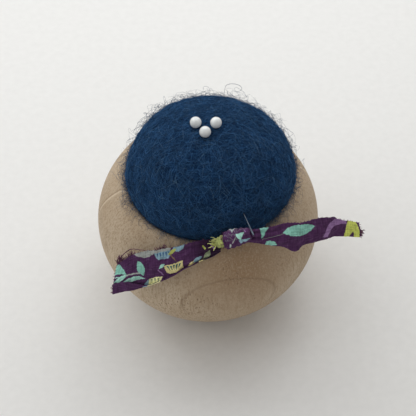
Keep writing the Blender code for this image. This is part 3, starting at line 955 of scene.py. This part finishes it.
def fray(name, edge, outward, length, count, spread=0.6, radius=0.07, kink=0.1, yarn=YARN):
    """Loose yarns along an edge, which leave it in the outward directions."""
    steps = 7
    pick = RNG.uniform(0, len(edge) - 1, count)
    index = pick.astype(int)
    root = edge[index] + (edge[np.minimum(index + 1, len(edge) - 1)] - edge[index]) * (pick - index)[:, None]
    way = unit(outward[index] + RNG.normal(0, spread, (count, 3)))
    reach = (RNG.uniform(0.25, 1.0, count) * length)[:, None, None]
    along = np.linspace(-0.15, 1, steps)[None, :, None]
    paths = root[:, None] + way[:, None] * along * reach
    paths += wiggles(count, steps, reach[:, 0, 0] * kink)
    return ride(tubes(name, paths, RNG.uniform(0.6, 1.2, count) * radius, yarn), "printed_cotton")


def finish_tail(name, tail, frays, hairs=()):
    """The loose yarns along a tail's edges, and what the tail is.

    A fray is its name, its edge, the rows of it, how far its yarns point back, and what fray takes.
    """
    piece, points, length = tail
    top, up = points[:, 0], unit(points[:, 0] - points[:, 40])
    edges = {"top": (top, up), "end": (points[-1], unit(points[-1] - points[-12]))}
    ride(piece, "printed_cotton", f"ribbon_{name}")
    for part, edge, rows, back, reach, count, *looks in frays:
        line, away = (values[slice(*rows)] for values in edges[edge])
        away = away - [back, 0, 0]
        fray(f"{name}_{part}", line, away, reach, count, *looks)
    for rows in hairs:
        arc = (2.3 * np.sin(np.pi * even(len(rows))))[:, None]
        hair = tubes(f"{name}_hair", (top[rows] + up[240] * arc)[None], [0.16], YARN)
        ride(hair, "printed_cotton")


LEFT_FRAYS = [
    ("fray_corner", "top", (262, None), 0.35, 2.7, 70, 0.26, 0.08, 0.06),
    ("fray_shoulder", "top", (215, 265), 0.25, 1.7, 70, 0.35, 0.07, 0.06),
    ("fray_tuft", "top", (146, 172), 0, 1.5, 50, 0.35),
    ("fray_top", "top", (60, 225), 0, 0.6, 70),
    ("fray_end", "end", (None,), 0, 1.0, 60),
]
RIGHT_FRAYS = [
    ("fray_top", "top", (40, None), 0, 0.6, 70),
    ("fray_end", "end", (None,), 0, 1.4, 40),
    ("tufts", "end", (30, 70), 0, 1.9, 14, 0.3, 0.22),
]


def left_flap(along):
    return 3.2 * ease(0.6, 0.82, along)


def right_flap(along):
    return 3.2 + 3.7 * ease(0.64, 0.72, along) * (1 - ease(0.8, 0.86, along))


def tails():
    # the left tail's ground takes painted shade near the knot, where it tucks under the felt
    rule = (LEFT_PRINT, 3.2, 0.55)
    left = folded_strip("cotton_left_tail", LEFT_TAIL, rule, left_flap, 1, 0.5, 1.6)
    hair = np.linspace(190, 298, 24).astype(int)
    finish_tail("left_tail", left, LEFT_FRAYS, [hair])
    rule = (RIGHT_PRINT, 3.6, 0.0)
    right = folded_strip("cotton_right_tail", RIGHT_TAIL, rule, right_flap, -1, 0.4, -1.0)
    finish_tail("right_tail", right, RIGHT_FRAYS)


def puff(name, centre, width, radii, turns, pleats, motifs):
    """Gathered cloth that goes round the knot's axis turns times.

    radii are at its two ends, and pleats is how many gathers lie across it and how deep they are.
    """
    rows, columns = 320, 130
    across = even(columns)[None, :]
    wound = np.linspace(0, turns, rows)[:, None]
    turn = TURN * (wound - turns) + math.radians(200)
    side = unit(np.cross([0, 0, 1], KNOT_AXIS))
    rise = np.cross(KNOT_AXIS, side)
    barrel = 1 - 0.3 * np.abs(2 * across - 1) ** 3.5
    under = 1 - 0.16 * np.clip(turns - 1 - wound, 0, 1)
    gather = np.abs(np.sin(np.pi * pleats[0] * across + 0.9 * np.sin(turn) + 0.5 * np.sin(2 * turn + 1)))
    reach = (radii[0] + (radii[1] - radii[0]) * across) * barrel * under + pleats[1] * (gather - 0.5)
    points = (
        centre
        + KNOT_AXIS * (width * (across - 0.5) + 0.35 * np.sin(turn) + 0.2 * np.sin(3 * turn))[..., None]
        + side * (reach * np.sin(turn))[..., None]
        + rise * (reach * np.cos(turn))[..., None]
    )
    points = points + (points - centre) * (0.03 * CREASES(points) + 0.015 * FRAYS(points))[..., None]
    flat = np.broadcast_arrays(wound * TURN * np.mean(radii), across * width)
    return cloth(name, points, flat, printed(motifs, *flat)), points


def knot():
    """The strip's turn over its own tails, and the lime fold that sticks out of it."""
    wrap_centre, tuft_centre = KNOT_CENTRE + WRAP_OFFSET, KNOT_CENTRE + TUFT_OFFSET
    shape = (9.0, (3.0, 2.0), 1.5, (5, 0.35))
    wrap, wrap_points = puff("cotton_knot_wrap", wrap_centre, *shape, WRAP_PRINT)
    shape = (3.4, (1.5, 1.9), 1.2, (3, 0.45))
    tuft, tuft_points = puff("cotton_knot_tuft", tuft_centre, *shape, TUFT_PRINT)
    ride(wrap, "printed_cotton", "ribbon_knot")
    ride(tuft, "printed_cotton")
    rim = tuft_points[-260:, 0]
    left = unit(rim - tuft_centre - KNOT_AXIS * 1.2)
    fringe = fray("knot_fringe", rim, left, 3.0, 20, 0.25, 0.2, 0.04, LIME_YARN)
    hem = fray("knot_fray", wrap_points[-200:, 0], left[-200:], 1.2, 40)


def loop():
    """The pleated turn of the strip in the cup, which rises to the knot."""
    low, high = node_box("ribbon_loop")
    rows, columns = 24, 480
    up = even(rows)[:, None]
    turn = np.linspace(0, TURN, columns, endpoint=False)[None, :]
    knot_turn = math.atan2(KNOT_CENTRE[1], KNOT_CENTRE[0])
    away = np.abs((turn - knot_turn + np.pi) % TURN - np.pi)
    climb = (high[2] - 4.4 - low[2]) + 4.2 * np.exp(-((away / math.radians(9)) ** 2))
    height = low[2] + up * climb
    radius = LOOP_RADIUS + 0.05 + 0.35 * np.sin(46 * turn + 3 * up) + np.clip(height - RIM_TOP, 0, 3) * 0.9
    points = np.stack([radius * np.cos(turn), radius * np.sin(turn), height], -1)
    x, y = np.broadcast_arrays(turn * LOOP_RADIUS, height - low[2])
    piece = cloth("cotton_loop", points, (x % UV_MM, y), printed([], x, y), wrap=True)
    ride(piece, "printed_cotton", "ribbon_loop")


# ---- pins and needle


PIN_SHAFT_RADIUS = 0.3
PIN_POINT = 3.0  # length of a pin's ground point
HEAD_DEPTH = 1.4  # how far the shaft goes up into its head
NEEDLE_RADIUS = 0.2
NEEDLE_POINT = 5.0
EYE_DROP = 1.5  # from the needle's end to the middle of its eye
EYE_HALF, EYE_RADIUS = 0.45, 0.08  # the eye is a slot with round ends
EYE_POINTS = 16


def pin(side, pearl, steel):
    """A moulded ball head with a short collar, on a drawn shaft with a ground point."""
    centre, axis, radius, length = PINS[side]
    ball = ellipse((0, 0), (radius, radius), 90, -78, 40)
    collar = [(0.42, -radius - 0.05), (0.38, -radius - 0.25), (0, -radius - 0.25)]
    head = turned_piece(f"pin_{side}_ball", [ball, collar], 48, centre, axis, pearl)
    ride(head, "pearl", f"pin_{side}_head", body=f"pin_{side}")

    top = -radius + HEAD_DEPTH
    tip = top - length
    point = even(9)[1:-1, None]
    ground = np.hstack([PIN_SHAFT_RADIUS * (1 - point**1.6), tip + PIN_POINT * (1 - point)])
    shank = [(0, top), (PIN_SHAFT_RADIUS, top), (PIN_SHAFT_RADIUS, tip + PIN_POINT)]
    shaft = turned_piece(f"pin_{side}_wire", [shank, ground, [(0, tip)]], 24, centre, axis, steel)
    ride(shaft, "steel", f"pin_{side}_shaft", body=f"pin_{side}")


def needle(steel):
    """A needle with its point in the felt and a flattened eye outside."""
    low, high = node_box("needle")
    axis = JOINT_AXES["needle"]
    across = 2 * NEEDLE_RADIUS * math.sqrt(1 - axis[1] ** 2)
    length = (high[1] - low[1] - across) / abs(axis[1])
    end = length / 2
    point = even(12)[:, None]
    ground = np.hstack([NEEDLE_RADIUS * (1 - point**2) + 0.015 * point, -end + NEEDLE_POINT * (1 - point)])
    neck = [(0, end), (NEEDLE_RADIUS * 0.6, end - 0.05), (NEEDLE_RADIUS * 0.9, end - 0.3)]
    shank = [(NEEDLE_RADIUS, end - z) for z in np.linspace(0.6, 5.0, 12)]
    profile = np.vstack([neck, shank, ground, [(0, -end - 0.02)]])
    points, faces = turned(profile, 20)
    flat = np.exp(-(((points[:, 2] - end + EYE_DROP) / 1.1) ** 2))
    points[:, 0] *= 1 + 0.45 * flat
    points[:, 1] *= 1 - 0.25 * flat
    piece = mesh_piece("needle_steel", stand_along(points, (low + high) / 2, axis), faces, steel)

    turn = np.linspace(0, TURN, EYE_POINTS, endpoint=False)
    x = EYE_RADIUS * np.cos(turn)
    z = np.sign(np.sin(turn)) * EYE_HALF + EYE_RADIUS * np.sin(turn) + end - EYE_DROP
    rims = np.vstack([np.c_[x, np.full(EYE_POINTS, y), z] for y in (-0.6, 0.6)])
    caps = [list(range(EYE_POINTS - 1, -1, -1)), list(range(EYE_POINTS, 2 * EYE_POINTS))]
    sides = grid_faces(2, EYE_POINTS, wrap=True)
    cutter = mesh_piece("eye_cutter", stand_along(rims, (low + high) / 2, axis), sides + caps, steel)
    cut = modifier(piece, "BOOLEAN", operation="DIFFERENCE", object=cutter, solver="EXACT")
    bpy.context.view_layer.objects.active = piece
    bpy.context.view_layer.update()
    bpy.ops.object.modifier_apply(modifier=cut.name)
    bpy.data.objects.remove(cutter)
    piece.data.shade_smooth()
    ride(piece, "steel", "needle", body="needle")


# ---- floor, light and camera


VIEW_ELEVATION = math.radians(51)
VIEW_DISTANCE = 400
VIEW_RAISE = 2.8  # how far above the ball's centre the picture's centre is, in the picture's plane
VIEW_LENS = 98.65
FLOOR_HALF = 2000.0
SOFT_BOX_SIZE = 400
SOFT_BOXES = [
    ("window_left", (-350, 350, 500), 0.84),
    ("window_back", (0, 300, 400), 0.58),
    ("window_right", (200, 250, 380), 0.46),
    ("side_left", (-320, 0, 350), 0.39),
]


def aimed(name, data, place, aim):
    """An object at one place that faces another."""
    made = linked(name, data)
    place, aim = Vector(place) * MM, Vector(aim) * MM
    made.location = place
    made.rotation_euler = (aim - place).to_track_quat("-Z", "Y").to_euler()
    return made


def camera():
    back = np.array([0, -math.cos(VIEW_ELEVATION), math.sin(VIEW_ELEVATION)])
    up = np.array([0, math.sin(VIEW_ELEVATION), math.cos(VIEW_ELEVATION)])
    centre = np.array([0, 0, BALL_CENTRE])
    data = bpy.data.cameras.new("camera")
    data.lens = VIEW_LENS
    data.sensor_width = 36
    data.clip_start = 0.01
    eye = aimed("camera", data, centre + back * VIEW_DISTANCE, centre + up * VIEW_RAISE)
    bpy.context.scene.camera = eye


def soft_box(name, place, power):
    """A round soft light that faces the cushion."""
    data = bpy.data.lights.new(name, "AREA")
    data.shape = "DISK"
    data.size = SOFT_BOX_SIZE * MM
    data.energy = power
    data.color = (0.985, 1.0, 1.0)
    aimed(name, data, place, (0, 0, 20))


def studio():
    pale, paler = (0.8, 0.8, 0.79), (0.83, 0.83, 0.82)
    paper = plain_material("paper", (0.35, 4.0), pale, paler, 0, Roughness=0.9)
    corners = np.array([(-1, -1, 0), (1, -1, 0), (1, 1, 0), (-1, 1, 0)]) * FLOOR_HALF
    floor = mesh_piece("floor", corners, [[0, 1, 2, 3]], paper)

    world = bpy.data.worlds.new("studio")
    world.use_nodes = True
    background = world.node_tree.nodes["Background"]
    background.inputs["Color"].default_value = (1.0, 0.972, 0.942, 1)
    background.inputs["Strength"].default_value = 0.44
    bpy.context.scene.world = world
    bpy.context.scene.view_settings.view_transform = "Standard"
    for box in SOFT_BOXES:
        soft_box(*box)


# ---- putting it together


camera()
studio()

PEARL = plain_material(
    "pearl", (0.8, 2.0), (0.7, 0.73, 0.74), (0.86, 0.88, 0.88), 0.05, 0.6,
    Roughness=0.24, Coat_Weight=0.5, Coat_Roughness=0.12,
)
FLEECE = plain_material(
    "core_wool", (0.5, 5.0, 0.65), (0.55, 0.5, 0.4), (0.78, 0.74, 0.64), 0.6,
    Roughness=0.95, Sheen_Weight=0.3,
)
GLUE = plain_material(
    "glue", (0.25, 2.0), (0.7, 0.65, 0.5), (0.82, 0.78, 0.66), 0.3, Roughness=0.3
)
STEEL = steel_material("steel", (0.42, 0.44, 0.47), (0.56, 0.58, 0.61))
NEEDLE_STEEL = steel_material("needle_steel", (0.07, 0.09, 0.12), (0.12, 0.14, 0.17))

wooden_ball(wood_material())
felt_ball(felt_material())
felt_fibres()
wool_core(FLEECE)
glue_puddle(GLUE)
tails()
knot()
loop()
for side in PINS:
    pin(side, PEARL, STEEL)
needle(NEEDLE_STEEL)
